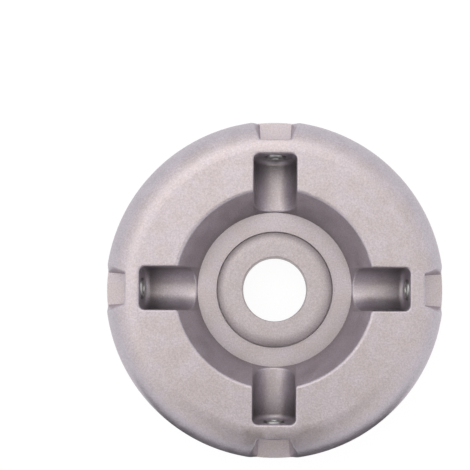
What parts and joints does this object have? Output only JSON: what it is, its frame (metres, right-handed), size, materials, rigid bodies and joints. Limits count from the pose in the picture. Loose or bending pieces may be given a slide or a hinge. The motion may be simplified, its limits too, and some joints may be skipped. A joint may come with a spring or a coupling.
{
  "type": "fixed line trimmer head",
  "caption": "Round cast trimmer head with a central arbor bush, a conical cup and radial line channels that end in steel eyelets and flared exit notches.",
  "frame": {"origin": "on the arbor axis, in the back face that lies against the gearbox", "axes": "+Z along the arbor axis towards the ground side, where the cup opens; +X through line eyelet 1, +Y through line eyelet 2"},
  "size_m": [0.1336, 0.1336, 0.025],
  "materials": {
    "blasted_casting": "shot-blasted die casting",
    "blasted_bush": "shot-blasted",
    "eyelet_steel": "polished, hardened"
  },
  "bodies": {
    "root": {"head_casting": "blasted_casting", "arbor_bush": "blasted_bush", "line_eyelet_1": "eyelet_steel", "line_eyelet_2": "eyelet_steel", "line_eyelet_3": "eyelet_steel", "line_eyelet_4": "eyelet_steel"}
  },
  "joints": []
}
